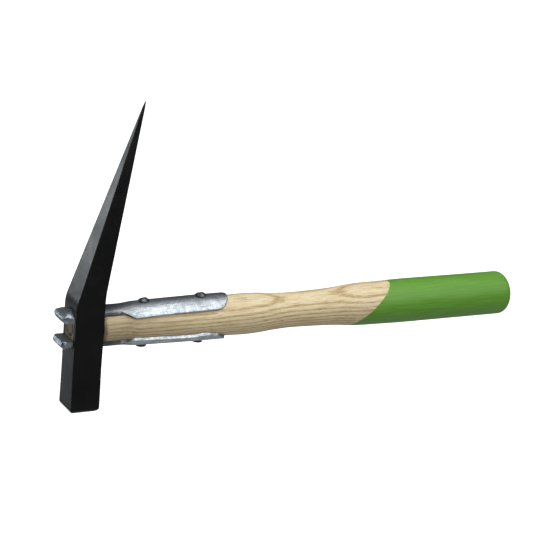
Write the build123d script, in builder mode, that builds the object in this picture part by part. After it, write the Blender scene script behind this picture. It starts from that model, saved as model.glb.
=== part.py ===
from build123d import *
import math
import os

# A carpenter's spike hammer: square-faced forged head with a long leaning spike, a turned ash handle,
# two riveted side straps whose front ends turn over the eye as a pair of nail claws, and a ring wedge.
# The origin is the centre of the striking face. +X runs along the handle to its butt, +Z up to the
# spike's tip, and the hammer is symmetrical about the plane Y = 0. Sizes are in millimetres.

# Head
mouth_width = 24.0
mouth_depth = 25.6
poll_waist_depth = 24.4
poll_waist_height = 38.0
cheek_depth = 25.4
cheek_height = 61.0
head_height = 245.0
axis_height = 66.6
spike_front_slope = 0.322
spike_back_slope = 0.187
shoulder_rise = 21.3
back_shoulder_rise = 28.0
front_blend_radius = 26.0
blend_steps = 4
spike_end_depth = 1.8
tip_height = 5.0
tip_width = 0.9
tip_depth = 0.7
tip_chamfer = 0.18
mouth_chamfer = 1.4
edge_chamfer = 0.6

# Eye
eye_width = 17.6
eye_height = 33.0
fit_gap = 0.05

# Handle
handle_reach = 391.5
tongue_recess = 0.1
neck_length = 17.0
seat_front_radius = 15.3
seat_rear_radius = 16.4
seat_start_run = 13.0
seat_margin = 0.5
swell_radius = 16.8
swell_run = 16.4
swell_slope = 0.04
waist_radius = 14.6
waist_share = 0.35
mid_rise_share = 0.45
late_rise_share = 0.72
late_rise_drop = 0.46
grip_radius = 18.6
grip_length = 100.0
butt_round = 7.0

# Straps
strap_end_reach = 121.0
strap_end_round = 13.2
saddle_half_angle = 56.5
saddle_thickness = 2.3
neck_thickness = 3.0
flare_length = 10.0
flare_start = 16.0
flare_round = 5.0

# Claw lugs at the front ends of the straps
lug_reach = 10.0
lug_inner_drop = 7.4
lug_end_height = 4.6
lug_side_inset = 1.1
lug_crown_length = 4.5
lug_nose_height = 4.4
lug_nose_drop = 0.6
lug_nose_run = 1.8
lug_corner_cut = 2.6

# Rivets
rivet_shank_radius = 2.6
rivet_gap = 0.05
front_rivet_run = 7.4
rear_rivet_run = 22.3
rivet_head_radius = 4.6
rivet_head_height = 2.7
rivet_flat_radius = 1.7
rivet_shoulder_radius = 3.7
rivet_shoulder_height = 1.8
rivet_rim_height = 0.3
rivet_tail_radius = 4.4
rivet_tail_height = 1.7
rivet_tail_bevel = 0.4

# Ring wedge
wood_beside_ring = 1.8
ring_wall = 2.1
ring_length = 12.0
ring_taper = 0.6
ring_rise = 1.0
ring_shift = 0.6

# Derived sizes
half_mouth = mouth_width / 2
eye_radius = eye_height / 2
shoulder_height = axis_height + shoulder_rise
back_shoulder_height = axis_height + back_shoulder_rise
spike_top = head_height - tip_height
spike_front_x = -half_mouth + spike_front_slope * (spike_top - shoulder_height)
spike_back_x = half_mouth + spike_back_slope * (spike_top - back_shoulder_height)
tip_x = (spike_front_x + spike_back_x) / 2 + tip_height * (spike_front_slope + spike_back_slope) / 2
handle_axis = Axis((0, 0, axis_height), (1, 0, 0))
tongue_half_width = eye_width / 2 - fit_gap
neck_outer_radius = eye_radius - fit_gap
strap_neck_inner = neck_outer_radius - neck_thickness
tongue_radius = strap_neck_inner - fit_gap
neck_radius = tongue_radius
saddle_inner_front = seat_front_radius + fit_gap
saddle_inner_rear = seat_rear_radius + fit_gap
saddle_outer_front = saddle_inner_front + saddle_thickness
saddle_outer_rear = saddle_inner_rear + saddle_thickness
neck_end_x = half_mouth + neck_length
seat_start_x = neck_end_x + seat_start_run
grip_start_x = handle_reach - grip_length
swell_x = strap_end_reach + swell_run
waist_x = strap_end_reach + waist_share * (grip_start_x - strap_end_reach)
mid_rise_x = waist_x + mid_rise_share * (grip_start_x - waist_x)
late_rise_x = waist_x + late_rise_share * (grip_start_x - waist_x)
front_rivet_x = seat_start_x + front_rivet_run
rear_rivet_x = strap_end_reach - rear_rivet_run
ring_outer_radius = tongue_half_width - wood_beside_ring
ring_inner_radius = ring_outer_radius - ring_wall

os.makedirs("parts", exist_ok=True)

# Head: one run of cross-sections from the mouth to the tip, each a rectangle with bevelled corners.
# The poll narrows a little between the mouth and the cheeks beside the eye. Above the eye the spike
# tapers on all four sides and leans towards the handle.
blend_angle = math.atan(spike_front_slope)
blend_run = front_blend_radius * math.tan(blend_angle / 2)
blend_base = shoulder_height - blend_run
blend_top = shoulder_height + blend_run * math.cos(blend_angle)


def between(value, start, end, at_start, at_end):
    share = min(1.0, max(0.0, (value - start) / (end - start)))
    return at_start + share * (at_end - at_start)


def front_face_x(z):
    if z <= blend_base:
        return -half_mouth
    if z >= blend_top:
        return -half_mouth + spike_front_slope * (z - shoulder_height)
    rise = z - blend_base
    return -half_mouth + front_blend_radius - math.sqrt(front_blend_radius**2 - rise**2)


def back_face_x(z):
    return half_mouth + spike_back_slope * max(0.0, z - back_shoulder_height)


def depth_at(z):
    if z <= poll_waist_height:
        return between(z, 0, poll_waist_height, mouth_depth, poll_waist_depth)
    if z <= cheek_height:
        return between(z, poll_waist_height, cheek_height, poll_waist_depth, cheek_depth)
    return between(z, back_shoulder_height, spike_top, cheek_depth, spike_end_depth)


blend_heights = [
    blend_base + step * (blend_top - blend_base) / blend_steps for step in range(blend_steps + 1)
]
section_heights = [
    mouth_chamfer,
    poll_waist_height,
    cheek_height,
    *blend_heights,
    back_shoulder_height,
    spike_top,
]

with BuildPart() as head:
    with BuildSketch(Plane.XY):
        mouth = Rectangle(mouth_width - 2 * mouth_chamfer, mouth_depth - 2 * mouth_chamfer)
        chamfer(mouth.vertices(), edge_chamfer)
    for section_height in sorted(section_heights):
        front_x = front_face_x(section_height)
        back_x = back_face_x(section_height)
        with BuildSketch(Plane.XY.offset(section_height)):
            with Locations(((front_x + back_x) / 2, 0)):
                section = Rectangle(back_x - front_x, depth_at(section_height))
            chamfer(section.vertices(), edge_chamfer)
    with BuildSketch(Plane.XY.offset(head_height)):
        with Locations((tip_x, 0)):
            tip = Rectangle(tip_width, tip_depth)
        chamfer(tip.vertices(), tip_chamfer)
    loft(ruled=True)
    # Eye for the handle's tongue and the two strap necks
    with BuildSketch(Plane.YZ):
        with Locations((0, axis_height)):
            Circle(eye_radius)
            Rectangle(eye_width, eye_height, mode=Mode.INTERSECT)
    extrude(amount=mouth_width, both=True, mode=Mode.SUBTRACT)

head.part.label = "head"
export_step(head.part, "parts/head.step")

# Handle: turned outside the head, with a flat-sided tongue through the eye
with BuildPart() as handle:
    with BuildSketch(Plane.XZ):
        with BuildLine():
            Line((half_mouth + fit_gap, axis_height), (half_mouth + fit_gap, axis_height + neck_radius))
            neck_top = Line(
                (half_mouth + fit_gap, axis_height + neck_radius),
                (neck_end_x, axis_height + neck_radius),
            )
            Line(neck_top @ 1, (seat_start_x, axis_height + seat_front_radius))
            seat_top = Line(
                (seat_start_x, axis_height + seat_front_radius),
                (strap_end_reach + seat_margin, axis_height + seat_rear_radius),
            )
            swell = Spline(
                seat_top @ 1,
                (swell_x, axis_height + swell_radius),
                (waist_x, axis_height + waist_radius),
                (mid_rise_x, axis_height + (waist_radius + grip_radius) / 2),
                (late_rise_x, axis_height + grip_radius - late_rise_drop),
                (grip_start_x, axis_height + grip_radius),
                tangents=((1, swell_slope), (1, 0)),
            )
            FilletPolyline(
                swell @ 1,
                (handle_reach, axis_height + grip_radius),
                (handle_reach, axis_height),
                radius=butt_round,
            )
            Line((handle_reach, axis_height), (half_mouth + fit_gap, axis_height))
        make_face()
    revolve(axis=handle_axis)
    with BuildSketch(Plane.YZ.offset(-half_mouth + tongue_recess)):
        with Locations((0, axis_height)):
            Circle(tongue_radius)
            Rectangle(2 * tongue_half_width, 4 * tongue_radius, mode=Mode.INTERSECT)
    extrude(amount=mouth_width - tongue_recess + fit_gap)
    # Groove that the ring wedge is driven into
    with BuildSketch(Plane.YZ.offset(-half_mouth)):
        with Locations((-ring_shift, axis_height + ring_rise)):
            Circle(ring_outer_radius + fit_gap)
            Circle(ring_inner_radius - fit_gap, mode=Mode.SUBTRACT)
    extrude(amount=ring_length + fit_gap + tongue_recess, mode=Mode.SUBTRACT)
    # Rivet holes
    with Locations((front_rivet_x, 0, axis_height), (rear_rivet_x, 0, axis_height)):
        Cylinder(rivet_shank_radius + rivet_gap, 4 * grip_radius, mode=Mode.SUBTRACT)

handle.part.label = "handle"
export_step(handle.part, "parts/handle.step")

# Claw lug: the strap's front end spread into a crosswise bar with a flat inner face and a crowned back
lug_back_x = -half_mouth - fit_gap
lug_front_x = lug_back_x - lug_reach
lug_half_width = cheek_depth / 2 - lug_side_inset
lug_inner_z = axis_height + lug_inner_drop
lug_crown_z = axis_height + neck_outer_radius - fit_gap
with BuildPart() as upper_lug:
    with BuildSketch(Plane.YZ.offset(lug_front_x)):
        with BuildLine():
            lug_base = Polyline(
                (-lug_half_width, lug_inner_z + lug_end_height),
                (-lug_half_width, lug_inner_z),
                (lug_half_width, lug_inner_z),
                (lug_half_width, lug_inner_z + lug_end_height),
            )
            ThreePointArc(lug_base @ 1, (0, lug_crown_z), lug_base @ 0)
        make_face()
    extrude(amount=lug_reach)
    with BuildSketch(Plane.XZ):
        with BuildLine():
            Polyline(
                (lug_back_x, lug_inner_z - lug_nose_drop),
                (lug_back_x, lug_crown_z + fit_gap),
                (lug_back_x - lug_crown_length, lug_crown_z + fit_gap),
                (lug_front_x, lug_inner_z + lug_nose_height),
                (lug_front_x, lug_inner_z + lug_nose_drop),
                (lug_front_x + lug_nose_run, lug_inner_z - lug_nose_drop),
                close=True,
            )
        make_face()
    extrude(amount=cheek_depth, both=True, mode=Mode.INTERSECT)
    with BuildSketch(Plane.XY.offset(lug_inner_z - lug_nose_drop)):
        with BuildLine():
            Polyline(
                (lug_back_x + fit_gap, -lug_half_width - fit_gap),
                (lug_back_x + fit_gap, lug_half_width + fit_gap),
                (lug_front_x + lug_corner_cut, lug_half_width + fit_gap),
                (lug_front_x - fit_gap, lug_half_width - lug_corner_cut),
                (lug_front_x - fit_gap, -lug_half_width + lug_corner_cut),
                (lug_front_x + lug_corner_cut, -lug_half_width - fit_gap),
                close=True,
            )
        make_face()
    extrude(amount=eye_height, mode=Mode.INTERSECT)

# Upper strap: a plate turned about the handle axis, thick and narrow through the eye, then flaring
# into a thin saddle with a rounded end that wraps the handle and carries the rivets. The saddle opens
# out a little towards its end, as the handle does.
flare_start_x = half_mouth + flare_start
flare_end_x = flare_start_x + flare_length
saddle_half_width = saddle_outer_front * math.sin(math.radians(saddle_half_angle))
saddle_edge_direction = (
    0,
    -math.cos(math.radians(saddle_half_angle)),
    math.sin(math.radians(saddle_half_angle)),
)
saddle_edge_plane = Plane(origin=(0, 0, axis_height), x_dir=(1, 0, 0), z_dir=saddle_edge_direction)
end_round_start_x = strap_end_reach - strap_end_round
with BuildPart() as upper_strap:
    with BuildSketch(saddle_edge_plane):
        with BuildLine():
            Polyline(
                (lug_back_x, strap_neck_inner),
                (neck_end_x, strap_neck_inner),
                (seat_start_x, saddle_inner_front),
                (strap_end_reach, saddle_inner_rear),
                (strap_end_reach, saddle_outer_rear),
                (seat_start_x, saddle_outer_front),
                (neck_end_x, neck_outer_radius),
                (lug_back_x, neck_outer_radius),
                close=True,
            )
        make_face()
    revolve(axis=handle_axis, revolution_arc=2 * saddle_half_angle)
    with BuildSketch(Plane.XY.offset(axis_height)):
        with BuildLine():
            strap_front = Line((lug_back_x - fit_gap, 0), (lug_back_x - fit_gap, tongue_half_width))
            strap_side = FilletPolyline(
                (lug_back_x - fit_gap, tongue_half_width),
                (flare_start_x, tongue_half_width),
                (flare_end_x, saddle_half_width + fit_gap),
                (end_round_start_x, saddle_half_width + fit_gap),
                radius=flare_round,
            )
            strap_end = Spline(
                strap_side @ 1,
                (strap_end_reach, 0),
                tangents=((1, 0), (0, -1)),
            )
            mirror(strap_front, about=Plane.XZ)
            mirror(strap_side, about=Plane.XZ)
            mirror(strap_end, about=Plane.XZ)
        make_face()
    extrude(amount=2 * saddle_outer_rear, mode=Mode.INTERSECT)
    add(upper_lug.part)
    with Locations((front_rivet_x, 0, axis_height), (rear_rivet_x, 0, axis_height)):
        Cylinder(rivet_shank_radius + rivet_gap, 4 * saddle_outer_rear, mode=Mode.SUBTRACT)

upper_strap.part.label = "upper_strap"
export_step(upper_strap.part, "parts/upper_strap.step")

# Lower strap: the upper one turned over about the handle axis
with BuildPart() as lower_strap:
    mirror(upper_strap.part, about=Plane.XY.offset(axis_height))

lower_strap.part.label = "lower_strap"
export_step(lower_strap.part, "parts/lower_strap.step")

# Rivets: a domed head bedded on the upper strap, a shank through straps and handle, and a flat tail
# hammered over under the lower strap. Head and tail are hollowed to sit on the curved straps, and each
# rivet is as long as the straps are apart where it stands.
rivet_places = {"front_rivet": front_rivet_x, "rear_rivet": rear_rivet_x}


def saddle_outer_at(x):
    return between(x, seat_start_x, strap_end_reach, saddle_outer_front, saddle_outer_rear)


for rivet_name, rivet_x in rivet_places.items():
    bed_radius = saddle_outer_at(rivet_x + rivet_head_radius) + fit_gap
    rivet_base_z = math.sqrt(bed_radius**2 - rivet_head_radius**2) - fit_gap
    rivet_top_z = bed_radius + rivet_head_height
    rivet_rim_z = bed_radius + rivet_rim_height
    rivet_tail_z = -bed_radius - rivet_tail_height
    with BuildPart() as rivet:
        with BuildSketch(Plane.XZ):
            with BuildLine():
                Polyline(
                    (0, -rivet_base_z),
                    (0, rivet_tail_z),
                    (rivet_tail_radius - rivet_tail_bevel, rivet_tail_z),
                    (rivet_tail_radius, rivet_tail_z + rivet_tail_bevel),
                    (rivet_tail_radius, -rivet_base_z),
                    close=True,
                )
            make_face()
            with BuildLine():
                Polyline(
                    (rivet_flat_radius, rivet_top_z),
                    (0, rivet_top_z),
                    (0, rivet_base_z),
                    (rivet_head_radius, rivet_base_z),
                    (rivet_head_radius, rivet_rim_z),
                )
                ThreePointArc(
                    (rivet_flat_radius, rivet_top_z),
                    (rivet_shoulder_radius, bed_radius + rivet_shoulder_height),
                    (rivet_head_radius, rivet_rim_z),
                )
            make_face()
        revolve(axis=Axis.Z)
        Cylinder(bed_radius, 4 * rivet_head_radius, rotation=(0, 90, 0), mode=Mode.SUBTRACT)
        Cylinder(rivet_shank_radius, 2 * bed_radius + rivet_tail_height)
    rivet.part.locate(Location((rivet_x, 0, axis_height)))
    rivet.part.label = rivet_name
    export_step(rivet.part, f"parts/{rivet_name}.step")

# Ring wedge: a steel ring, thinner at its leading edge, driven into the tongue's end grain
with BuildPart() as ring_wedge:
    with BuildSketch(Plane.XY):
        with BuildLine():
            Polyline(
                (ring_inner_radius, 0),
                (ring_outer_radius, 0),
                (ring_outer_radius - ring_taper, ring_length),
                (ring_inner_radius + ring_taper, ring_length),
                close=True,
            )
        make_face()
    revolve(axis=Axis.Y)

ring_wedge.part.locate(
    Location((-half_mouth + tongue_recess, -ring_shift, axis_height + ring_rise), (0, 0, -90))
)
ring_wedge.part.label = "ring_wedge"
export_step(ring_wedge.part, "parts/ring_wedge.step")
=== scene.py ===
# %% [markdown]
# # A strapped spike hammer
# This lesson dresses a hammer whose solid shapes were already drawn in a CAD program.
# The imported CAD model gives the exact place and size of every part. Each part is then made again as a
# detailed mesh in the same place, with wear, hammer marks and a procedural finish.
# All lengths here are in metres. +X runs along the handle to its butt, +Z up to the tip of the spike,
# and the middle of the striking face is the origin.

import math

import bmesh
import bpy
from mathutils import Matrix, Vector, noise


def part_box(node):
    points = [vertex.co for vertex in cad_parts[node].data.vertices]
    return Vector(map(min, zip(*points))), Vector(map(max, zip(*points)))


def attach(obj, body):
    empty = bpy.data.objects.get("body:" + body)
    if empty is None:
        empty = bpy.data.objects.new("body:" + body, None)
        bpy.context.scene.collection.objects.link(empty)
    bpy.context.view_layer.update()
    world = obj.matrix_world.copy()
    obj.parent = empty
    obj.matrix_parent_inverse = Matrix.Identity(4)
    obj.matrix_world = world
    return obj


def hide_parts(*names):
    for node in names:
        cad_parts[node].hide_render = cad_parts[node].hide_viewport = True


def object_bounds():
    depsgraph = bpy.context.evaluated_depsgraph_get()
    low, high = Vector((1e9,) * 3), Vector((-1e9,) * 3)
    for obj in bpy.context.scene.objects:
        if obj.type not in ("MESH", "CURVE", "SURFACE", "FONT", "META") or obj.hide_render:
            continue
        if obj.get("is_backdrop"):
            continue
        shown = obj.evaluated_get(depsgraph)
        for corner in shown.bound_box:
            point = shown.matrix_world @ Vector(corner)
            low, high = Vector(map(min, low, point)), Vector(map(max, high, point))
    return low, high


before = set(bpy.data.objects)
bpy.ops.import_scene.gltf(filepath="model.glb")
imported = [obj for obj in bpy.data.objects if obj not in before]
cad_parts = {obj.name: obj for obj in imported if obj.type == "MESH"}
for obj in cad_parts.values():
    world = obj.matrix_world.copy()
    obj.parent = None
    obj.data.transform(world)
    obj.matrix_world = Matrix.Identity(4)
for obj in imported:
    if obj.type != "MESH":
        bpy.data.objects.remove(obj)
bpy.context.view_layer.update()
MM = 0.001
scene = bpy.context.scene

# %% [markdown]
# ## Measuring the parts
# Every mesh is placed from the CAD boxes. The handle's box gives the height of its axis and the radius of
# the grip. The head's box gives the poll and the spike's tip. What a box can't tell, such as the eye's
# outline or the handle's waist, is repeated here as the CAD model has it.

# %% Take sizes from the CAD boxes
head_low, head_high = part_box("head")
handle_low, handle_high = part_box("handle")
strap_low, strap_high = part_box("upper_strap")
rivet_low, rivet_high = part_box("front_rivet")
rear_low, rear_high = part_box("rear_rivet")
ring_low, ring_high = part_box("ring_wedge")
AXIS_Z = (handle_low.z + handle_high.z) / 2
GRIP_R = (handle_high.z - handle_low.z) / 2
BUTT_X = handle_high.x
HALF = -head_low.x
EYE_HALF = 8.8 * MM
EYE_R = 16.5 * MM
NECK_R = 16.45 * MM
print("axis height", round(AXIS_Z / MM, 2), "grip radius", round(GRIP_R / MM, 2))


# %% [markdown]
# ## From rings to a mesh
# A hammer is mostly long bars that change section on the way. A stack of closed rings of points, joined
# by quads, makes such a bar with every section where it is wanted. This helper skins a stack and closes
# both of its ends.

# %% Skin a stack of rings
def skin(rings):
    mesh = bmesh.new()
    rows = [[mesh.verts.new(point) for point in ring] for ring in rings]
    count = len(rings[0])
    for row, following in zip(rows, rows[1:]):
        for i in range(count):
            j = (i + 1) % count
            mesh.faces.new((row[i], row[j], following[j], following[i]))
    mesh.faces.new(rows[0][::-1])
    mesh.faces.new(rows[-1])
    bmesh.ops.recalc_face_normals(mesh, faces=mesh.faces)
    return mesh


# %% Put a mesh in the scene
def loose_object(name, mesh):
    data = bpy.data.meshes.new(name)
    mesh.to_mesh(data)
    mesh.free()
    made = bpy.data.objects.new(name, data)
    scene.collection.objects.link(made)
    return made


def smooth(piece, angle):
    # shade the surface smooth, but keep every edge that turns more than the angle crisp
    bpy.context.view_layer.objects.active = piece
    piece.select_set(True)
    bpy.ops.object.shade_smooth_by_angle(angle=math.radians(angle), keep_sharp_edges=True)
    piece.select_set(False)


def make_piece(name, mesh, node, material, angle=40):
    piece = loose_object(name, mesh)
    piece.data.materials.append(material)
    smooth(piece, angle)
    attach(piece, "root")
    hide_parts(node)
    print(name, len(piece.data.vertices), "points")
    return piece


# %% [markdown]
# ## Cutting and joining
# Holes and grooves are cut as on a bench, with a tool of the hole's own shape. Blender's Boolean
# modifier does that. It is applied at once, so the finished mesh holds no modifier, and the tool is
# thrown away.

# %% Work a piece with Boolean tools
def work(piece, tools):
    # each tool is a loose object with what it does: DIFFERENCE cuts it away, UNION joins it on
    for tool, operation in tools:
        step = piece.modifiers.new(operation, "BOOLEAN")
        step.operation, step.solver, step.object = operation, "EXACT", tool
    graph = bpy.context.evaluated_depsgraph_get()
    made = bpy.data.meshes.new_from_object(piece.evaluated_get(graph))
    piece.modifiers.clear()
    piece.data = made
    for tool, _ in tools:
        bpy.data.objects.remove(tool)


# %% [markdown]
# ## Finishes
# Each finish starts from Blender's Principled shader, with its colour, roughness and a little relief fed
# by noise. The noise follows the object's own coordinates, so its grain size is real: a scale of 900
# gives spots about a millimetre across.

# %% Start a material and lay noise on it
def new_material(name):
    print("finish", name)
    material = bpy.data.materials.new(name)
    material.use_nodes = True
    nodes = material.node_tree.nodes
    shader = nodes["Principled BSDF"]
    place = nodes.new("ShaderNodeTexCoord")
    return material, nodes, material.node_tree.links, shader, place.outputs["Object"]


def stretched(nodes, links, place, scale, turn=(0, 0, 0)):
    mapping = nodes.new("ShaderNodeMapping")
    mapping.inputs["Scale"].default_value = scale
    mapping.inputs["Rotation"].default_value = turn
    links.new(place, mapping.inputs["Vector"])
    return mapping.outputs["Vector"]


def turned(nodes, links, place, turn, scale):
    # turn the coordinates first and stretch them after, so streaks can run at a slant
    mapping = nodes.new("ShaderNodeMapping")
    mapping.inputs["Rotation"].default_value = turn
    links.new(place, mapping.inputs["Vector"])
    return stretched(nodes, links, mapping.outputs["Vector"], scale)


def speckle(nodes, links, vector, scale, detail=4.0, rough=0.55, distort=0.0):
    texture = nodes.new("ShaderNodeTexNoise")
    texture.inputs["Scale"].default_value = scale
    texture.inputs["Detail"].default_value = detail
    texture.inputs["Roughness"].default_value = rough
    texture.inputs["Distortion"].default_value = distort
    links.new(vector, texture.inputs["Vector"])
    return texture.outputs["Fac"]


# %% [markdown]
# Noise is only a number from 0 to 1 at each point. The next helpers turn it into an amount, a colour or
# a mix of two colours, and do sums with it.

# %% Turn numbers into amounts and colours
def spread(nodes, links, value, low, high, to_low=0.0, to_high=1.0):
    remap = nodes.new("ShaderNodeMapRange")
    remap.inputs["From Min"].default_value = low
    remap.inputs["From Max"].default_value = high
    remap.inputs["To Min"].default_value = to_low
    remap.inputs["To Max"].default_value = to_high
    links.new(value, remap.inputs["Value"])
    return remap.outputs["Result"]


def tint(nodes, links, value, *stops):
    ramp = nodes.new("ShaderNodeValToRGB")
    elements = ramp.color_ramp.elements
    elements[0].position, elements[0].color = stops[0][0], (*stops[0][1], 1)
    elements[1].position, elements[1].color = stops[-1][0], (*stops[-1][1], 1)
    for position, colour in stops[1:-1]:
        elements.new(position).color = (*colour, 1)
    links.new(value, ramp.inputs["Fac"])
    return ramp.outputs["Color"]


def blend_colours(nodes, links, amount, first, second, kind="MIX"):
    mix = nodes.new("ShaderNodeMix")
    mix.data_type = "RGBA"
    mix.blend_type = kind
    for source, socket in ((amount, mix.inputs[0]), (first, mix.inputs[6]), (second, mix.inputs[7])):
        if isinstance(source, bpy.types.NodeSocket):
            links.new(source, socket)
        else:
            socket.default_value = source
    return mix.outputs[2]


def combine(nodes, links, operation, first, second):
    node = nodes.new("ShaderNodeMath")
    node.operation = operation
    for source, socket in ((first, node.inputs[0]), (second, node.inputs[1])):
        if isinstance(source, bpy.types.NodeSocket):
            links.new(source, socket)
        else:
            socket.default_value = source
    return node.outputs[0]


# %% [markdown]
# Relief too fine to model, such as grit and grain, only tilts the light. A Bump node does that. Several
# can lie one on another, the coarse one underneath.

# %% Press fine relief into a surface
def relief(nodes, links, shader, height, strength, distance, under=None):
    bump = nodes.new("ShaderNodeBump")
    bump.inputs["Strength"].default_value = strength
    bump.inputs["Distance"].default_value = distance
    links.new(height, bump.inputs["Height"])
    if under is not None:
        links.new(under, bump.inputs["Normal"])
    links.new(bump.outputs["Normal"], shader.inputs["Normal"])
    return bump.outputs["Normal"]


# %% [markdown]
# ### Black lacquer
# The head is forged steel dipped in a thin black lacquer. The lacquer is satin, slightly wavy from the
# scale beneath it, and thin enough to rub grey on the sharpest edges.

# %% Make the black lacquer
def make_lacquer():
    material, nodes, links, shader, place = new_material("black_lacquer")
    deep_black = (0.0014, 0.0015, 0.0017)
    thin_black = (0.0030, 0.0032, 0.0036)
    bare_steel = (0.10, 0.10, 0.105, 1)
    cloud = speckle(nodes, links, place, 60, 5)
    grit = speckle(nodes, links, place, 1500, 3)
    colour = tint(nodes, links, cloud, (0.3, deep_black), (0.7, thin_black))
    edge = nodes.new("ShaderNodeNewGeometry").outputs["Pointiness"]
    rubbed = spread(nodes, links, edge, 0.56, 0.66)
    patchy = combine(nodes, links, "MULTIPLY", rubbed, spread(nodes, links, grit, 0.45, 0.62, 0.0, 0.55))
    links.new(blend_colours(nodes, links, patchy, colour, bare_steel), shader.inputs["Base Color"])
    links.new(spread(nodes, links, cloud, 0.3, 0.7, 0.24, 0.34), shader.inputs["Roughness"])
    shader.inputs["Specular IOR Level"].default_value = 0.46
    scale_marks = relief(nodes, links, shader, speckle(nodes, links, place, 130, 4), 0.35, 0.0006)
    relief(nodes, links, shader, grit, 0.12, 0.0001, scale_marks)
    return material


black_lacquer = make_lacquer()


# %% [markdown]
# ### Zinc plate
# The straps are mild steel, hammered over the handle and zinc plated. The plate is bright, with long
# slanting rub marks and soft darker patches. Stretching one noise hard along a slant gives the rub marks.

# %% Make the zinc plate
def make_zinc():
    material, nodes, links, shader, place = new_material("zinc_plate")
    slant = (0, math.radians(-48), math.radians(20))
    streak_grain = turned(nodes, links, place, slant, (230, 1900, 2500))
    streaks = speckle(nodes, links, streak_grain, 1.0, 5, 0.65, 0.3)
    rub_grain = stretched(nodes, links, place, (70, 1300, 1300))
    rubs = speckle(nodes, links, rub_grain, 1.0, 4, 0.6, 0.2)
    patches = speckle(nodes, links, place, 130, 4, 0.6, 0.5)
    fine = speckle(nodes, links, place, 1300, 3)
    marks = combine(nodes, links, "MULTIPLY", streaks, 0.45)
    for noise_part, share in ((rubs, 0.30), (patches, 0.25)):
        marks = combine(nodes, links, "ADD", marks, combine(nodes, links, "MULTIPLY", noise_part, share))
    dull_zinc, plain_zinc, rubbed_zinc = (0.15, 0.175, 0.20), (0.43, 0.48, 0.52), (0.73, 0.78, 0.82)
    bright = tint(nodes, links, marks, (0.38, dull_zinc), (0.48, plain_zinc), (0.58, rubbed_zinc))
    # painted shade and reflection: the plate is darker close to the head, standing in for the head's shade
    # and its dark mirror image
    own = nodes.new("ShaderNodeSeparateXYZ")
    links.new(place, own.inputs["Vector"])
    behind = spread(nodes, links, own.outputs["X"], 0.018, 0.045, 0.22, 1.0)
    ahead = spread(nodes, links, own.outputs["X"], -0.0130, -0.0115, 1.0, 0.22)
    unshaded_share = combine(nodes, links, "MAXIMUM", behind, ahead)
    # painted shade: the colour the plate takes close to the head
    head_shade_zinc = (0.035, 0.038, 0.042, 1)
    zinc_with_head_shade = blend_colours(nodes, links, unshaded_share, head_shade_zinc, bright)
    links.new(zinc_with_head_shade, shader.inputs["Base Color"])
    shader.inputs["Metallic"].default_value = 1.0
    links.new(spread(nodes, links, marks, 0.40, 0.60, 0.42, 0.22), shader.inputs["Roughness"])
    dents = relief(nodes, links, shader, patches, 0.28, 0.0005)
    scratches = relief(nodes, links, shader, marks, 0.75, 0.0006, dents)
    relief(nodes, links, shader, fine, 0.12, 0.00008, scratches)
    return material


zinc_plate = make_zinc()


# %% [markdown]
# ### Dark steel
# Rivets and the ring wedge are plain steel, oiled and hammered, so they look nearly black with a dull
# shine on each small blow.

# %% Make the dark steel
def make_dark_steel():
    material, nodes, links, shader, place = new_material("dark_steel")
    blotch = speckle(nodes, links, place, 420, 4)
    colour = tint(nodes, links, blotch, (0.3, (0.045, 0.047, 0.05)), (0.7, (0.16, 0.165, 0.175)))
    links.new(colour, shader.inputs["Base Color"])
    shader.inputs["Metallic"].default_value = 0.9
    links.new(spread(nodes, links, blotch, 0.3, 0.7, 0.5, 0.32), shader.inputs["Roughness"])
    relief(nodes, links, shader, speckle(nodes, links, place, 700, 3), 0.35, 0.0002)
    return material


dark_steel = make_dark_steel()


# %% [markdown]
# ### Ash wood
# Ash is a pale straw-coloured wood with clear growth rings. The handle is cut along the tree, so the rings
# are nested tubes almost parallel to it, round an axis below the handle and beyond it. Along the side they
# show as straight lines, and where the waist's curve cuts across them they close into arches. So each
# point's distance from that axis, cut into years, gives a true pattern, which a flat picture of wood
# wrapped round the handle would not.

# %% Draw the growth rings
RINGS_PER_METRE = 390.0
TREE_PLACE = (0.0, -0.034, -AXIS_Z + 0.066)
TREE_TILT = (0, math.radians(0.7), math.radians(0.5))
# through one year: open spring wood, dark at its start, and then close pale summer wood
YEAR = [(0.0, 0.62), (0.20, 1.0), (0.42, 0.30), (0.70, 0.0), (0.97, 0.16)]


def growth_rings(nodes, links, place):
    wobble = speckle(nodes, links, stretched(nodes, links, place, (9, 34, 34)), 1.0, 3, 0.5)
    ragged_edge = speckle(nodes, links, stretched(nodes, links, place, (60, 600, 600)), 1.0, 4, 0.6)
    tree = nodes.new("ShaderNodeMapping")
    tree.inputs["Location"].default_value = TREE_PLACE
    tree.inputs["Rotation"].default_value = TREE_TILT
    links.new(place, tree.inputs["Vector"])
    apart = nodes.new("ShaderNodeSeparateXYZ")
    links.new(tree.outputs["Vector"], apart.inputs["Vector"])
    across = combine(nodes, links, "MULTIPLY", apart.outputs["Y"], apart.outputs["Y"])
    upward = combine(nodes, links, "MULTIPLY", apart.outputs["Z"], apart.outputs["Z"])
    radius = combine(nodes, links, "SQRT", combine(nodes, links, "ADD", across, upward), 0.0)
    for bend, share in ((wobble, 0.0050), (ragged_edge, 0.0011)):
        radius = combine(nodes, links, "ADD", radius, combine(nodes, links, "MULTIPLY", bend, share))
    years = combine(nodes, links, "MULTIPLY", radius, RINGS_PER_METRE)
    year = combine(nodes, links, "FRACT", years, 0.0)
    return tint(nodes, links, year, *[(when, (dark,) * 3) for when, dark in YEAR])


print("one year is", round(1 / RINGS_PER_METRE / MM, 1), "mm thick")
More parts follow.
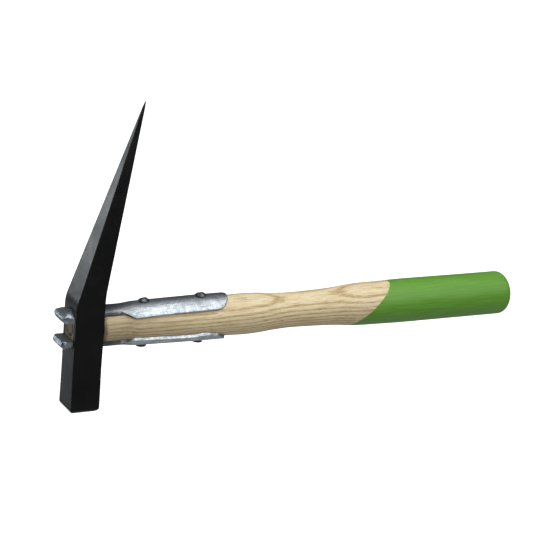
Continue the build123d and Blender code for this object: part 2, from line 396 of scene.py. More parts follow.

# %% [markdown]
# ### Fibres and pores
# Noise that is stretched along X gives the fibres. A finer one gives the open pores, which stand mostly in
# each spring's wood. Close to the head the wood is painted darker, as painted shade from the head and the
# straps, and torn fibres show dark at the eye.

# %% Colour the bare wood
CREAM, STRAW = (0.96, 0.86, 0.605), (0.88, 0.74, 0.465)
TAN, BROWN = (0.74, 0.57, 0.305), (0.56, 0.40, 0.19)
PORE_BROWN = (0.26, 0.155, 0.07, 1)
TORN_BROWN = (0.09, 0.055, 0.025, 1)
# painted shade: the colour of the wood where the head and straps shade it
HEAD_SHADE_BROWN = (0.22, 0.175, 0.105, 1)


def bare_wood(nodes, links, place, along, fibre):
    rings = growth_rings(nodes, links, place)
    ring_share = combine(nodes, links, "MULTIPLY", rings, 0.24)
    fibre_share = combine(nodes, links, "MULTIPLY", fibre, 0.82)
    mixed = combine(nodes, links, "ADD", ring_share, fibre_share)
    wood = tint(nodes, links, mixed, (0.30, CREAM), (0.43, STRAW), (0.56, TAN), (0.70, BROWN))
    spring = spread(nodes, links, rings, 0.35, 0.9)
    pores = speckle(nodes, links, stretched(nodes, links, place, (170, 1500, 1500)), 1.0, 3, 0.6)
    pore_depth = spread(nodes, links, pores, 0.52, 0.64, 0.0, 0.62)
    pore_place = spread(nodes, links, spring, 0.0, 1.0, 0.35, 1.0)
    open_pores = combine(nodes, links, "MULTIPLY", pore_depth, pore_place)
    wood = blend_colours(nodes, links, open_pores, wood, PORE_BROWN)
    uneven_place = combine(nodes, links, "ADD", along, combine(nodes, links, "MULTIPLY", fibre, 0.009))
    near_eye = spread(nodes, links, uneven_place, 0.0180, 0.0200, 0.9, 0.0)
    behind_head = combine(nodes, links, "GREATER_THAN", along, 0.005)
    torn = combine(nodes, links, "MULTIPLY", near_eye, behind_head)
    wood = blend_colours(nodes, links, torn, wood, TORN_BROWN)
    # painted shade: the wood darkens towards the head, where the head and straps shade it
    painted_head_shade = spread(nodes, links, along, 0.030, 0.100, 0.42, 0.0)
    return blend_colours(nodes, links, painted_head_shade, wood, HEAD_SHADE_BROWN)


# %% [markdown]
# ### Green paint
# The last part of the handle is dipped in green paint, which ends along a slanting line. A mask tells
# paint from wood: how far a point lies beyond that line, with a little noise for the brushy edge.

# %% Find the painted part
PAINT_X = 0.25286
PAINT_PER_Z = 1.133
PAINT_PER_Y = 0.079
PAINT_EDGE = 0.0006
DEEP_GREEN, LIGHT_GREEN = (0.108, 0.318, 0.027), (0.170, 0.425, 0.047)


def painted_part(nodes, links, place, own):
    by_height = combine(nodes, links, "MULTIPLY", own.outputs["Z"], PAINT_PER_Z)
    by_side = combine(nodes, links, "MULTIPLY", own.outputs["Y"], PAINT_PER_Y)
    slant = combine(nodes, links, "ADD", by_height, by_side)
    slant = combine(nodes, links, "SUBTRACT", slant, AXIS_Z * PAINT_PER_Z)
    beyond = combine(nodes, links, "SUBTRACT", own.outputs["X"], slant)
    ragged = combine(nodes, links, "MULTIPLY", speckle(nodes, links, place, 160, 3), 0.0012)
    beyond = combine(nodes, links, "ADD", beyond, ragged)
    return spread(nodes, links, beyond, PAINT_X, PAINT_X + PAINT_EDGE)


print("at the handle's axis the paint starts at", round(PAINT_X / MM, 1), "mm")

# %% [markdown]
# ### The whole handle's finish
# Wood and paint share one material, so that the fibres still show faintly through the paint. The mask
# chooses between their colours and between their two kinds of gloss.

# %% Make the ash and its painted end
def make_ash():
    material, nodes, links, shader, place = new_material("ash_handle")
    own = nodes.new("ShaderNodeSeparateXYZ")
    links.new(place, own.inputs["Vector"])
    fibre = speckle(nodes, links, stretched(nodes, links, place, (38, 900, 900)), 1.0, 6, 0.7, 0.1)
    wood = bare_wood(nodes, links, place, own.outputs["X"], fibre)
    paint = tint(nodes, links, fibre, (0.35, DEEP_GREEN), (0.65, LIGHT_GREEN))
    painted = painted_part(nodes, links, place, own)
    links.new(blend_colours(nodes, links, painted, wood, paint), shader.inputs["Base Color"])
    bare = spread(nodes, links, fibre, 0.3, 0.7, 0.52, 0.66)
    gloss = spread(nodes, links, fibre, 0.3, 0.7, 0.36, 0.46)
    rough = nodes.new("ShaderNodeMix")
    for source, socket in ((painted, 0), (bare, 2), (gloss, 3)):
        links.new(source, rough.inputs[socket])
    links.new(rough.outputs[0], shader.inputs["Roughness"])
    grain = relief(nodes, links, shader, fibre, 0.30, 0.0004)
    lip = relief(nodes, links, shader, painted, 0.25, 0.00015, grain)
    relief(nodes, links, shader, speckle(nodes, links, place, 260, 3, 0.6), 0.18, 0.0004, lip)
    return material


ash_handle = make_ash()


# %% [markdown]
# ## Smooth curves through a few sizes
# Forged and turned pieces swell and thin without a corner. A short list of sizes at chosen places, joined
# by cubic curves that never overshoot, gives such an outline with few numbers.

# %% Draw a smooth curve through sizes
def between(table, at):
    # a smooth curve through (place, value) pairs, level at both ends
    if at <= table[0][0]:
        return table[0][1]
    if at >= table[-1][0]:
        return table[-1][1]
    slopes = [0.0]
    for (x0, y0), (x1, y1), (x2, y2) in zip(table, table[1:], table[2:]):
        left = (y1 - y0) / (x1 - x0)
        right = (y2 - y1) / (x2 - x1)
        slopes.append(0.0 if left * right <= 0 else 2 * left * right / (left + right))
    slopes.append(0.0)
    for i, ((x0, y0), (x1, y1)) in enumerate(zip(table, table[1:])):
        if at <= x1:
            run = x1 - x0
            t = (at - x0) / run
            return (
                y0 * (1 + 2 * t) * (1 - t) ** 2
                + run * slopes[i] * t * (1 - t) ** 2
                + y1 * t * t * (3 - 2 * t)
                + run * slopes[i + 1] * t * t * (t - 1)
            )


print("halfway from 1 to 3:", between([(0, 1), (10, 3)], 5))

# %% [markdown]
# ## The head
# A smith draws the head from one square bar: the poll stays square, the middle swells round the eye and
# the spike is drawn to a point that leans toward the handle. It could be made by pulling a cube about.
# Giving each face's place by height instead keeps every size in sight, and easy to change.

# %% Size of the head at any height
SHOULDER = AXIS_Z + 21.3 * MM
BACK_SHOULDER = AXIS_Z + 28.0 * MM
SPIKE_TOP = head_high.z - 5.0 * MM
FRONT_SLOPE = 0.322
BACK_SLOPE = 0.187
FRONT_EASE = 1.2 * 26.0 * MM * math.tan(math.atan(FRONT_SLOPE) / 2)
BACK_EASE = 5.0 * MM
MOUTH = head_high.y
WAIST = MOUTH - 0.6 * MM
CHEEK = 12.7 * MM
TIP_HALF = 0.9 * MM
SIDES = [(2 * MM, MOUTH), (38 * MM, WAIST), (61 * MM, CHEEK)]


def leaned(rise, slope, ease):
    # how far a face has leaned at some rise past its shoulder: not at all below it, by the slope above
    # it, and along a parabola where one eases into the other
    if rise <= -ease:
        return 0.0
    if rise >= ease:
        return slope * rise
    return slope * (rise + ease) ** 2 / (4 * ease)


def head_front(z):
    return -HALF + leaned(z - SHOULDER, FRONT_SLOPE, FRONT_EASE)


def head_back(z):
    return HALF + leaned(z - BACK_SHOULDER, BACK_SLOPE, BACK_EASE)


def head_side(z):
    taper = (CHEEK - TIP_HALF) / (SPIKE_TOP - BACK_SHOULDER)
    return between(SIDES, z) - taper * max(0.0, z - BACK_SHOULDER)


print("head at the eye", [round(v(AXIS_Z) / MM, 1) for v in (head_front, head_back, head_side)])

# %% [markdown]
# ### One section of the head
# Each ring is a rectangle with rounded corners. Noise pushes its points in by up to 0.13 mm, as hammer
# blows leave a forging. The points run round in the same order in every ring, so that quads can join
# them.

# %% Outline the head at one height
CORNER = 0.55 * MM
HEEL = 3.4 * MM
HEEL_DEPTH = 0.9
TIP_LEFT = 0.28
BLOW_DEPTH = 0.11 * MM
BLOW_SCALE = 75


def wander(place, scale, seed=0.0):
    # a repeatable bumpy number from about -1 to 1 for a point in space
    return noise.noise(Vector(place) * scale + Vector((seed, seed * 0.7, seed * 1.3)))


def rounded_box(front, back, side, corner, per_side=10, per_corner=4):
    middle = (front + back) / 2
    arcs = []
    for quarter, (x, y) in enumerate([(back, side), (front, side), (front, -side), (back, -side)]):
        centre_x = x - math.copysign(corner, x - middle)
        centre_y = y - math.copysign(corner, y)
        turns = [math.radians(90 * quarter + 90 * k / per_corner) for k in range(per_corner + 1)]
        arcs.append([(centre_x + corner * math.cos(a), centre_y + corner * math.sin(a)) for a in turns])
    points = []
    for arc, following in zip(arcs, arcs[1:] + arcs[:1]):
        (x0, y0), (x1, y1) = arc[-1], following[0]
        shares = [k / per_side for k in range(1, per_side)]
        points += arc + [(x0 + (x1 - x0) * share, y0 + (y1 - y0) * share) for share in shares]
    return points


def head_ring(z, inset=0.0):
    front, back, side = head_front(z) + inset, head_back(z) - inset, head_side(z) - inset
    if z < HEEL:
        # the back edge of the face is worn round
        back -= HEEL * (1 - math.sqrt(1 - (1 - z / HEEL) ** 2)) * HEEL_DEPTH
    if z > SPIKE_TOP:
        rise = (z - SPIKE_TOP) / (head_high.z - SPIKE_TOP)
        left = (1 - rise) * (1 - TIP_LEFT) + TIP_LEFT
        middle = (front + back) / 2
        wide = (head_back(SPIKE_TOP) - head_front(SPIKE_TOP)) / 2
        front, back, side = middle - wide * left, middle + wide * left, TIP_HALF * left
    corner = min(CORNER, 0.3 * (back - front), 0.6 * side)
    centre = Vector(((front + back) / 2, 0))
    ring = []
    for x, y in rounded_box(front, back, side, corner):
        away = Vector((x, y)) - centre
        blow = BLOW_DEPTH * (0.5 + 0.5 * wander((x, y, z), BLOW_SCALE, 3.1)) + 0.02 * MM
        away *= 1 - blow / max(away.length, 1 * MM)
        ring.append((centre.x + away.x, away.y, z))
    return ring


print("points in one section", len(head_ring(AXIS_Z)))

# %% [markdown]
# ### Stacking the sections
# Close rings near the face round its edge, even steps follow the poll and the spike, and a few more
# draw the tip to a point.

# %% Forge the head
FACE_EDGE = [(0.0, 1.4), (0.25, 0.98), (0.84, 0.476), (1.4, 0.112)]
HEAD_STEP = 1.5 * MM
TIP_STEPS = 5


def forge_head():
    rings = [head_ring(height * MM, inset * MM) for height, inset in FACE_EDGE]
    heights = [2.1 * MM]
    while heights[-1] < SPIKE_TOP - HEAD_STEP:
        heights.append(heights[-1] + HEAD_STEP)
    tip = head_high.z - SPIKE_TOP
    heights += [SPIKE_TOP + tip * k / TIP_STEPS for k in range(TIP_STEPS + 1)]
    return skin(rings + [head_ring(z) for z in heights])


head = make_piece("forged_head", forge_head(), "head", black_lacquer, 50)

# %% [markdown]
# ### The eye
# A smith punches the eye and opens it with a drift of the eye's own shape: flat sides, and a round top
# and bottom. The same drift, as a cutting tool, makes it here.

# %% Punch the eye
DRIFT_REACH = 30 * MM


def oval(radius, half_width, x, steps=14):
    lean = math.asin(min(1.0, half_width / radius))
    points = []
    for sign in (1, -1):
        for k in range(steps + 1):
            angle = lean - 2 * lean * k / steps
            y, z = radius * math.sin(angle), radius * math.cos(angle)
            points.append((x, sign * y, AXIS_Z + sign * z))
    return points


drift = loose_object("eye_drift", skin([oval(EYE_R, EYE_HALF, x) for x in (-DRIFT_REACH, DRIFT_REACH)]))
work(head, [(drift, "DIFFERENCE")])
print("head after punching", len(head.data.polygons), "faces")

# %% [markdown]
# ## The handle
# The handle is turned on a lathe: a thin neck between the straps, a swell, a slim waist for the fingers
# and a long straight grip with a rounded butt. Rings of points along the axis, each with its own radius,
# repeat that turning. Ahead of the neck the rings change to the flat-sided tongue that fills the eye.

# %% Give the handle's radius at any place
FIT_GAP = 0.05
NECK_START = 12.05
TONGUE_R = 13.4
BUTT_ROUND = 7.0 * MM
# distance from the head's middle and radius there, in millimetres
PROFILE = [
    (NECK_START, TONGUE_R), (29.0, 13.4), (42.0, 15.3), (121.5, 16.4), (129.0, 16.65), (137.5, 16.8),
    (151.0, 16.35), (165.5, 15.15), (180.5, 14.58), (195.5, 14.82), (218.0, 15.64), (226.0, 16.2),
    (233.5, 17.0), (241.0, 17.6), (249.0, 17.95), (264.5, 18.2), (291.5, 18.6), (384.5, 18.6),
]


def handle_radius(x):
    return between(PROFILE, x / MM) * MM


print("waist radius", min(radius for place, radius in PROFILE if place > 150), "mm")

# %% [markdown]
# ### Turning it
# Even steps along the axis give the long rings. The butt's last rings follow a quarter circle, so that
# they crowd together where it turns over. Noise leaves the surface up to a tenth of a millimetre off
# true, as sanding by hand does.

# %% Turn the handle
ROUND_COUNT = 112
LATHE_STEP = 1.6
LATHE_STEPS = 233
BUTT_STEPS = 12


def turns_of(count):
    return [2 * math.pi * k / count for k in range(count)]


def handle_ring(x, radius):
    ring = []
    for angle in turns_of(ROUND_COUNT):
        y, z = math.sin(angle), math.cos(angle)
        uneven = 0.06 * MM * (wander((x * 0.4, y * 0.02, z * 0.02), 60, 8.0) - 0.6)
        ring.append((x, (radius + uneven) * y, AXIS_Z + (radius + uneven) * z))
    return ring


def tongue_ring(x, inset=0.0):
    half = EYE_HALF - FIT_GAP * MM - inset
    radius = TONGUE_R * MM - inset
    ring = []
    for angle in turns_of(ROUND_COUNT):
        y, z = radius * math.sin(angle), radius * math.cos(angle)
        ring.append((x, max(-half, min(half, y)), AXIS_Z + z))
    return ring


def turn_handle():
    front = handle_low.x
    rings = [tongue_ring(front, 0.5 * MM), tongue_ring(front + 0.4 * MM)]
    rings += [tongue_ring(x * MM) for x in (-4.0, 4.0, 11.9)]
    places = [(NECK_START + LATHE_STEP * k) * MM for k in range(LATHE_STEPS)]
    rings += [handle_ring(x, handle_radius(x)) for x in places if x < BUTT_X - BUTT_ROUND - 0.2 * MM]
    for k in range(BUTT_STEPS + 1):
        bend = math.radians(90 * k / BUTT_STEPS)
        x = BUTT_X - BUTT_ROUND * (1 - math.sin(bend))
        rings.append(handle_ring(x, GRIP_R - BUTT_ROUND * (1 - math.cos(bend))))
    rings += [handle_ring(BUTT_X, (GRIP_R - BUTT_ROUND) * share) for share in (0.66, 0.33, 0.1)]
    return skin(rings)


handle = make_piece("turned_handle", turn_handle(), "handle", ash_handle, 35)

# %% [markdown]
# ## The ring wedge
# A steel ring driven into the tongue's end spreads the wood against the eye and keeps the head on. It is
# a short tube, slightly thinner at its far end, with an eased rim. Turning one small outline round an
# axis makes it.

# %% Turn the ring wedge
RING_WALL = 2.1 * MM
RING_OUTER = (ring_high.y - ring_low.y) / 2
RING_CENTRE = Vector((ring_low.x, (ring_low.y + ring_high.y) / 2, (ring_low.z + ring_high.z) / 2))
ALONG = Vector((1, 0, 0))


def tube_of_revolution(outline, centre, axis, count=64):
    # outline is (distance along the axis, radius) pairs; the tube closes on itself
    side = axis.orthogonal().normalized()
    up = axis.cross(side)
    mesh = bmesh.new()
    rows = []
    for angle in turns_of(count):
        out = side * math.cos(angle) + up * math.sin(angle)
        rows.append([mesh.verts.new(centre + axis * along + out * radius) for along, radius in outline])
    for row, following in zip(rows, rows[1:] + rows[:1]):
        for i in range(len(outline)):
            j = (i + 1) % len(outline)
            mesh.faces.new((row[i], row[j], following[j], following[i]))
    bmesh.ops.recalc_face_normals(mesh, faces=mesh.faces)
    return mesh


def make_ring_wedge():
    inner = RING_OUTER - RING_WALL
    length = ring_high.x - ring_low.x
    rim, thin = 0.35 * MM, 0.6 * MM
    outline = [
        (0, inner + rim), (0, RING_OUTER - rim), (rim, RING_OUTER), (length, RING_OUTER - thin),
        (length, inner + thin), (rim, inner),
    ]
    return tube_of_revolution(outline, RING_CENTRE, ALONG)


ring_wedge = make_piece("wedge_ring", make_ring_wedge(), "ring_wedge", dark_steel)

# %% [markdown]
# ### The wedge's groove
# The wood needs room for the ring, so a slightly larger tube is cut out of the tongue's end.

# %% Cut the wedge's groove into the end grain
GROOVE_DEPTH = 13.5 * MM
groove_outer = RING_OUTER + FIT_GAP * MM
groove_inner = groove_outer - RING_WALL - 0.1 * MM
groove = [(0, groove_inner), (0, groove_outer), (GROOVE_DEPTH, groove_outer), (GROOVE_DEPTH, groove_inner)]
groove_mesh = tube_of_revolution(groove, RING_CENTRE - ALONG * MM, ALONG)
work(handle, [(loose_object("groove_cutter", groove_mesh), "DIFFERENCE")])
print("handle after grooving", len(handle.data.polygons), "faces")

# %% [markdown]
# ## The straps
# Each strap is one plate. Through the eye it is a thick narrow neck, then it flares into a thin saddle
# hammered round the wood, with a rounded end. In front of the eye it is spread into a claw lug.
# The plate is laid out as a grid: one direction runs along the handle, the other round it. Moving the
# grid in and out gives both faces, and a band of quads round the rim gives the plate its thickness.

# %% Give the plate's size at any place
STRAP_END = strap_high.x
END_ROUND = 13.2 * MM
FLARE_START, FLARE_END = 26.0 * MM, 40.0 * MM
SADDLE_HALF = 14.72 * MM
NECK_HALF = EYE_HALF - 0.06 * MM
UNDER_SHARE = 1.06
RIVET_X = [(rivet_low.x + rivet_high.x) / 2, (rear_low.x + rear_high.x) / 2]


def eased(share):
    # from 0 to 1 with a level start and a level end
    share = max(0.0, min(1.0, share))
    return share * share * (3 - 2 * share)


def plate_outer(x):
    return between([(29.0, NECK_R / MM), (42.0, 17.65), (121.0, 18.75)], x / MM) * MM


def plate_inner(x):
    return between([(29.0, 13.45), (42.0, 15.35), (121.0, 16.45)], x / MM) * MM


def flared(x):
    # 0 in the neck, 1 on the saddle
    return eased((x - FLARE_START) / (FLARE_END - FLARE_START))


def plate_lean(x):
    # half the angle that the plate wraps, at a place along the handle
    neck = math.asin(NECK_HALF / plate_outer(x))
    saddle = math.asin(SADDLE_HALF / plate_outer(x))
    past = (x - STRAP_END + END_ROUND) / END_ROUND
    if past > 0:
        return saddle * math.sqrt(max(0.0, 1 - min(1.0, past) ** 2))
    return neck + (saddle - neck) * flared(x)


def plate_under_lean(x, lean):
    # through the eye the plate's sides are upright, and on the saddle they nearly are, so the under
    # face reaches a slightly wider angle than the outer one
    upright = math.asin(NECK_HALF / plate_inner(x))
    return upright * (1 - flared(x)) + lean * UNDER_SHARE * flared(x)


print("saddle wraps", round(2 * math.degrees(plate_lean(RIVET_X[1]))), "degrees")

# %% [markdown]
# ### The plate as a grid
# The rows stand close together at the rounded end, where the outline turns fast. Noise sinks the outer
# face a little here and there, and its long edges fall away as a sheared edge does.

# %% Lay out one strap plate
PLATE_STEP = 1.6 * MM
PLATE_COLUMNS = 30
END_STEPS = 16
DENT = 0.13 * MM
EDGE_FALL = 0.34 * MM
EDGE_FROM = 0.88
LIP_TURN = math.radians(4.5)
LIP_REACH = 6.5 * MM


def plate_places():
    front = head_low.x - 0.2 * MM
    count = int((STRAP_END - 14 * MM - front) / PLATE_STEP)
    places = [front + k * PLATE_STEP for k in range(count)]
    bends = [math.radians(90 * k / END_STEPS) for k in range(END_STEPS + 1)]
    places += [STRAP_END - END_ROUND * (1 - math.sin(bend)) for bend in bends]
    places[-1] = STRAP_END - 0.02 * MM
    return places


def plate_rows(mesh, x, up, seed):
    lean = max(plate_lean(x), 0.02)
    if up < 0:
        # a low lip, hammered out beside the rear rivet
        lean += LIP_TURN * math.exp(-(((x - RIVET_X[1]) / LIP_REACH) ** 4))
    under_lean = plate_under_lean(x, lean)
    top_row, under_row = [], []
    for k in range(PLATE_COLUMNS + 1):
        share = -1 + 2 * k / PLATE_COLUMNS
        edge = max(0.0, abs(share) - EDGE_FROM) / (1 - EDGE_FROM)
        dent = DENT * (0.5 - 0.5 * wander((x, lean * share * 0.017, up), 190, seed))
        outer = plate_outer(x) - EDGE_FALL * edge * edge - dent
        inner = plate_inner(x) + 0.02 * MM
        for row, radius, turn in ((top_row, outer, lean * share), (under_row, inner, under_lean * share)):
            y, z = radius * math.sin(turn), radius * math.cos(turn)
            row.append(mesh.verts.new((x, y, AXIS_Z + up * z)))
    return top_row, under_row


def plate(up, seed):
    # up is 1 for the strap above the handle and -1 for the one below it
    mesh = bmesh.new()
    rows = [plate_rows(mesh, x, up, seed) for x in plate_places()]
    last = PLATE_COLUMNS
    for (row, low), (after, low_after) in zip(rows, rows[1:]):
        for k in range(last):
            mesh.faces.new((row[k], row[k + 1], after[k + 1], after[k]))
            mesh.faces.new((low[k + 1], low[k], low_after[k], low_after[k + 1]))
        mesh.faces.new((row[0], after[0], low_after[0], low[0]))
        mesh.faces.new((after[last], row[last], low[last], low_after[last]))
    for row, low in (rows[0], rows[-1]):
        for k in range(last):
            mesh.faces.new((row[k + 1], row[k], low[k], low[k + 1]))
    bmesh.ops.recalc_face_normals(mesh, faces=mesh.faces)
    return mesh


print("rows along one plate", len(plate_places()))

# %% [markdown]
# ## The claw lugs
# A lug is forged flat on its inner side, to bear on a nail, and crowned on its outer side. Its ends are
# cut off with a few bevels. Cross-sections stacked from one end to the other follow that: low and short
# at each end, tall and long in the middle.

# %% Forge one lug
LUG_FRONT = strap_low.x / MM
LUG_BACK = head_low.x / MM - FIT_GAP
LUG_INNER = 7.4
LUG_HALF = 11.6
LUG_SHORT = 1.5
LUG_STEPS = 26
CROWN_END, CROWN_MIDDLE, CROWN_MOST = 4.6, 9.3, 8.6
LUG_UNEVEN = 0.16


def lug_outline(share):
    # side view of the bar at a share of its half length, in millimetres: (along, height from the axis)
    end = max(0.0, abs(share) - 0.80) / 0.20
    rise = math.sqrt(max(0.0, 1 - share * share * 0.97))
    crown = min(CROWN_END + (CROWN_MIDDLE - CROWN_END) * rise, CROWN_MOST)
    setback = 1.3 if share > 0 else 2.0
    front = LUG_FRONT + setback * end * end + 0.5 * share * share
    # away from the neck the bar rounds off towards the head as well
    fall = 0.9 + 0.7 * eased((abs(share) - 0.55) / 0.40)
    trim = 0.45 * end * end
    base = LUG_INNER + trim
    # up the back, over the sloping crown, down the front and in along the bevelled inner lip
    return base, [
        (LUG_BACK, base),
        (LUG_BACK, base + (crown - fall) * 0.5),
        (LUG_BACK, base + crown - trim - fall),
        (LUG_BACK - 2.4, base + crown - trim - 0.3 * fall),
        (LUG_BACK - 4.6, base + crown * 0.97 - trim),
        (front + 2.6, base + min(crown * 0.88, 7.0)),
        (front + 1.0, base + 5.5),
        (front + 0.2, base + 4.6),
        (front, base + 3.9),
        (front + 0.3, base + 2.7),
        (front + 1.2, base + 0.45),
        (front + 2.0, base),
    ]


def lug(up, seed):
    rings = []
    for k in range(LUG_STEPS + 1):
        share = -1 + 2 * k / LUG_STEPS
        # the lower lug stops a little short on the near side
        half = LUG_HALF if share > 0 or up > 0 else LUG_HALF - LUG_SHORT
        y = half * share * MM
        base, outline = lug_outline(share)
        ring = []
        for x, z in outline:
            uneven = LUG_UNEVEN * wander((x * MM, y, z * MM * up), 160, seed) + LUG_UNEVEN
            x_in = x + uneven if x < LUG_BACK - 1.0 else x
            z_in = z - uneven if z > base + 3 else z
            ring.append((x_in * MM, y, AXIS_Z + up * z_in * MM))
        rings.append(ring)
    return skin(rings)


print("opening between the lugs", 2 * LUG_INNER, "mm")

# %% [markdown]
# ### Drilling and joining
# The smith forges plate and lug in one. Here they are two meshes joined by a Boolean. The rivet holes
# are drilled first, while the plate is still a simple shape, which keeps the cut clean.

# %% Drill the plates and join the lugs
HOLE_R = 2.65 * MM
DRILL_REACH = 30 * MM
DRILL_SIDES = 40


def drill_bit(x):
    ring = [(x + HOLE_R * math.cos(a), HOLE_R * math.sin(a)) for a in turns_of(DRILL_SIDES)]
    return skin([[(px, py, AXIS_Z + z) for px, py in ring] for z in (-DRILL_REACH, DRILL_REACH)])


def make_strap(name, node, up, seed):
    strap = make_piece(name, plate(up, seed), node, zinc_plate, 45)
    tools = [(loose_object("drill", drill_bit(x)), "DIFFERENCE") for x in RIVET_X]
    tools.append((loose_object("lug_blank", lug(up, seed)), "UNION"))
    work(strap, tools)
    smooth(strap, 32)
    top = max(corner.co.z for corner in strap.data.vertices) - AXIS_Z
    print(name, len(strap.data.polygons), "faces, top", round(top / MM, 2), "mm from the axis")


make_strap("strap_above", "upper_strap", 1, 2.0)
make_strap("strap_below", "lower_strap", -1, 17.0)

# %% [markdown]
# ## The rivets
# Two rivets pin both straps and the wood together. On top each has a domed head knocked into facets by
# the hammer, below it a flat spread tail. Each facet is a blow: pushing points back to a few tilted planes
# gives real flats.

# %% Choose the blows on a rivet's head
BLOWS = 8
DOME_BASE = 0.4
TAIL_R = 4.4


def blows_on(wide, seed):
    # each blow is a plane: the direction that it faces and its distance from the dome's base
    blows = []
    for k in range(BLOWS):
        turn = math.radians(360 / BLOWS * k + 19 * seed)
        tilt = math.radians(38 + 9 * math.sin(k * 2.3 + seed))
        normal = Vector((math.cos(turn) * math.sin(tilt), math.sin(turn) * math.sin(tilt), math.cos(tilt)))
        rim = 1.15 + 0.25 * math.sin(k * 1.7 + seed)
        blows.append((normal, math.sin(tilt) * wide * 0.94 + math.cos(tilt) * rim))
    return blows


print("blows on one dome", len(blows_on(TAIL_R, 1.0)))

# %% [markdown]
# ### Setting them
# One outline turned round the rivet's own axis gives tail, shank and dome in a single closed shape, and
# the blows then flatten the dome.

# %% Set the rivets
SHANK_R = 2.6
CORE_R = 0.25
RIVET_SIDES = 48


def rivet_mesh(low, high, seed):
    x = (low.x + high.x) / 2
    top = (high.z - AXIS_Z) / MM
    bottom = (low.z - AXIS_Z) / MM
    seat = plate_outer(x) / MM + 0.02
    wide = (high.x - low.x) / 2 / MM
    # radius and height above the handle's axis, from the tail up to the dome, in millimetres
    outline = [
        (CORE_R, bottom), (TAIL_R - 1.2, bottom), (TAIL_R - 0.4, bottom + 0.1),
        (TAIL_R - 0.1, bottom + 0.4), (TAIL_R, bottom + 0.9), (TAIL_R, -seat + 0.8),
        (SHANK_R, -seat + 0.5), (SHANK_R, seat - 0.5),
        (wide * 0.97, seat - 0.7), (wide, seat + 0.2), (wide * 0.97, seat + 0.9),
        (wide * 0.86, seat + 1.6), (wide * 0.68, seat + 2.15), (wide * 0.46, seat + 2.5),
        (wide * 0.22, top - 0.05), (CORE_R, top),
    ]
    blows = blows_on(wide, seed)
    rings = []
    for radius, z in outline:
        ring = []
        for angle in turns_of(RIVET_SIDES):
            point = Vector((radius * math.cos(angle), radius * math.sin(angle), z - seat + DOME_BASE))
            if z > seat - 0.6:
                for normal, reach in blows:
                    point -= normal * max(0.0, point.dot(normal) - reach)
            ring.append((x + point.x * MM, point.y * MM, AXIS_Z + (point.z + seat - DOME_BASE) * MM))
        rings.append(ring)
    return skin(rings)


for name, low, high, seed in (("front", rivet_low, rivet_high, 1.0), ("rear", rear_low, rear_high, 2.6)):
    rivet = make_piece("rivet_" + name, rivet_mesh(low, high, seed), name + "_rivet", dark_steel, 22)

# %% [markdown]
# ## Floor, light and camera
# A plain pale floor fills the view from this camera. A pale dome stands round it, but a camera that sees
# less than 25 m far clips the dome away and shows the dim room above the floor's edge. Both are hidden
# from the light that the hammer receives: a white floor close below would turn black lacquer grey.

# %% Lay the floor and raise the dome
FLOOR_Z = -0.2 * MM
FLOOR_GLOW, DOME_GLOW = 0.86, 1.0
FLOOR_REACH = 40
DOME_REACH = 25


def glowing_white(name, colour, glow):
    material, _, _, shader, _ = new_material(name)
    shader.inputs["Base Color"].default_value = (colour, colour, colour, 1)
    shader.inputs["Roughness"].default_value = 0.9
    shader.inputs["Specular IOR Level"].default_value = 0.0
    shader.inputs["Emission Color"].default_value = (1, 1, 1, 1)
    shader.inputs["Emission Strength"].default_value = glow
    return material


def stage_piece(name, mesh, material, height):
    made = loose_object(name, mesh)
    made.data.materials.append(material)
    made.location = (0, 0, height)
    made.visible_diffuse = False
    made.visible_glossy = False
    made.visible_shadow = False
    made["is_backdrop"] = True
    print(name, "at height", height)


floor_mesh = bmesh.new()
bmesh.ops.create_grid(floor_mesh, x_segments=2, y_segments=2, size=FLOOR_REACH)
stage_piece("floor", floor_mesh, glowing_white("pale_floor", 0.8, FLOOR_GLOW), FLOOR_Z)
dome_mesh = bmesh.new()
bmesh.ops.create_uvsphere(dome_mesh, u_segments=48, v_segments=24, radius=DOME_REACH)
stage_piece("dome", dome_mesh, glowing_white("pale_dome", 0.0, DOME_GLOW), 0)

# %% [markdown]
# ### The lamps
# Polished steel shows what stands around it, so each lamp is a large soft panel placed where one face
# of the hammer mirrors it. One hangs overhead and lights the straps' tops. One stands high in front, for
# the straps' sides. Two stand low behind on the left, where the spike's front and the poll's front
# mirror them, and the lower of these is under the floor, which casts no shadow. A weak one fills the
# near side.

# %% Hang the lamps
COOL = (0.88, 0.95, 1.0)
middle = (0.15, 0, AXIS_Z)
head_middle = (0, 0, 0.1)


def panel(name, place, target, size, power, colour=(1, 1, 1)):
    light = bpy.data.lights.new(name, "AREA")
    light.shape = "RECTANGLE"
    light.size, light.size_y = size
    light.energy = power
    light.color = colour
    lamp = bpy.data.objects.new(name, light)
    lamp.location = place
    lamp.rotation_euler = (Vector(target) - Vector(place)).to_track_quat("-Z", "Y").to_euler()
    scene.collection.objects.link(lamp)


panel("top_panel", (0.20, -0.40, 1.45), middle, (1.8, 1.4), 15.5)
panel("front_high_panel", (0.70, -1.45, 1.05), middle, (1.5, 0.8), 7.6)
panel("back_left_panel", (-0.85, 1.20, 0.17), head_middle, (0.9, 0.26), 2.3, COOL)
panel("low_left_panel", (-0.75, 1.05, -0.36), head_middle, (0.9, 0.30), 0.30, COOL)
panel("front_fill", (0.30, -1.60, 0.55), middle, (1.4, 0.5), 2.6)
print("lamps:", [light.name for light in bpy.data.lights])

# %% [markdown]
# ### The room
# Where no panel stands, steel mirrors the room. It is dim at the horizon, so the black head stays black,
# and paler above and below, so the straps and the wood don't go dark there.

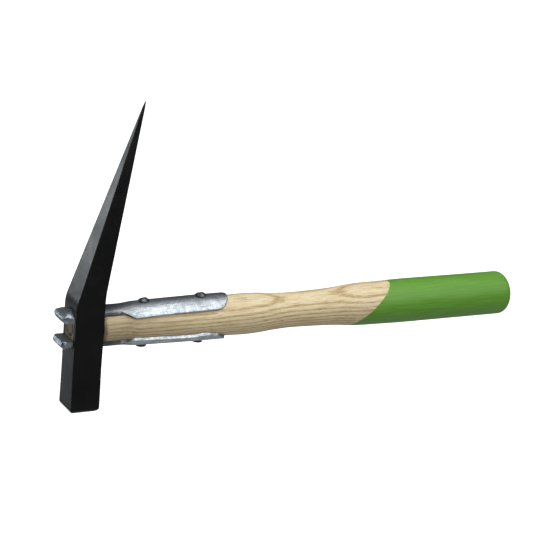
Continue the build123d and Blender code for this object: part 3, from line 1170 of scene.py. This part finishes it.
# %% Light the surround
ROOM = [(0.0, 0.46), (0.36, 0.10), (0.64, 0.055), (1.0, 0.30)]


def light_surround():
    world = bpy.data.worlds.new("studio")
    scene.world = world
    world.use_nodes = True
    nodes, links = world.node_tree.nodes, world.node_tree.links
    direction = nodes.new("ShaderNodeTexCoord")
    apart = nodes.new("ShaderNodeSeparateXYZ")
    links.new(direction.outputs["Generated"], apart.inputs["Vector"])
    height = spread(nodes, links, apart.outputs["Z"], -1.0, 1.0)
    shade = tint(nodes, links, height, *[(place, (grey,) * 3) for place, grey in ROOM])
    links.new(shade, nodes["Background"].inputs["Color"])
    nodes["Background"].inputs["Strength"].default_value = 1.0


light_surround()
scene.view_settings.view_transform = "Standard"
print("grey of the room at the horizon", ROOM[1][1], "to", ROOM[2][1])

# %% [markdown]
# ### The camera
# The camera stands to the left, well above the handle, and leans a little to one side. A long lens from
# one and a half metres away keeps the perspective gentle.

# %% Set the camera
TARGET = Vector((0.150, 0, 0.071))
AZIMUTH, ELEVATION, ROLL = -28.8, 17.386, -5.21
DISTANCE = 1.5
LENS = 124.737
SIDESTEP, LIFT = 8.466 * MM, 33.197 * MM


def place_camera():
    a, e, r = map(math.radians, (AZIMUTH, ELEVATION, ROLL))
    back = Vector((math.sin(a) * math.cos(e), -math.cos(a) * math.cos(e), math.sin(e)))
    flat = Vector((math.cos(a), math.sin(a), 0))
    upright = back.cross(flat)
    right = flat * math.cos(r) - upright * math.sin(r)
    up = flat * math.sin(r) + upright * math.cos(r)
    camera = bpy.data.objects.new("camera", bpy.data.cameras.new("camera"))
    camera.data.sensor_width = 36
    camera.data.lens = LENS
    camera.data.clip_start, camera.data.clip_end = 0.05, 100
    spot = TARGET + back * DISTANCE + right * SIDESTEP + up * LIFT
    camera.matrix_world = Matrix.Translation(spot) @ Matrix((right, up, back)).transposed().to_4x4()
    scene.collection.objects.link(camera)
    scene.camera = camera
    print("camera at", [round(v, 3) for v in spot])


place_camera()

# %% Measure the finished size
low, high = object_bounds()
print("visual box", [round(v / MM, 1) for v in (*low, *high)])
